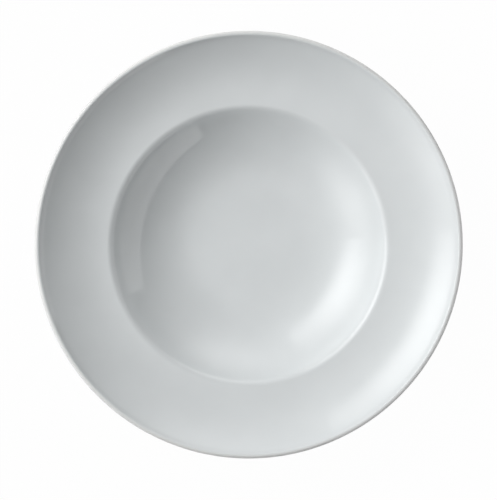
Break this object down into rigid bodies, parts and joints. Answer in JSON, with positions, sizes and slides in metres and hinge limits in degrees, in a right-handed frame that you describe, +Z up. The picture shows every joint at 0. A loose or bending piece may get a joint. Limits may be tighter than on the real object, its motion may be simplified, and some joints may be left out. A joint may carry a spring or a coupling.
{
  "type": "pasta plate",
  "caption": "Round white porcelain pasta plate with a deep curved well, a wide dished rim, a thick rounded lip and a bare foot ring; glazed elsewhere.",
  "frame": {"origin": "centre of the circle that the foot ring stands on", "axes": "+Z up along the plate's turning axis; the plate is round, so +X and +Y are free"},
  "size_m": [0.3, 0.3, 0.0518],
  "materials": {
    "bisque_porcelain": "matt, unglazed fired porcelain, ground smooth on the foot ring",
    "face_glaze": "high gloss, clear-white fired glaze",
    "back_glaze": "gloss, clear-white fired glaze"
  },
  "bodies": {
    "root": {"porcelain_body": "bisque_porcelain", "face_glaze": "face_glaze", "underside_glaze": "back_glaze", "recess_glaze": "back_glaze"}
  },
  "joints": []
}
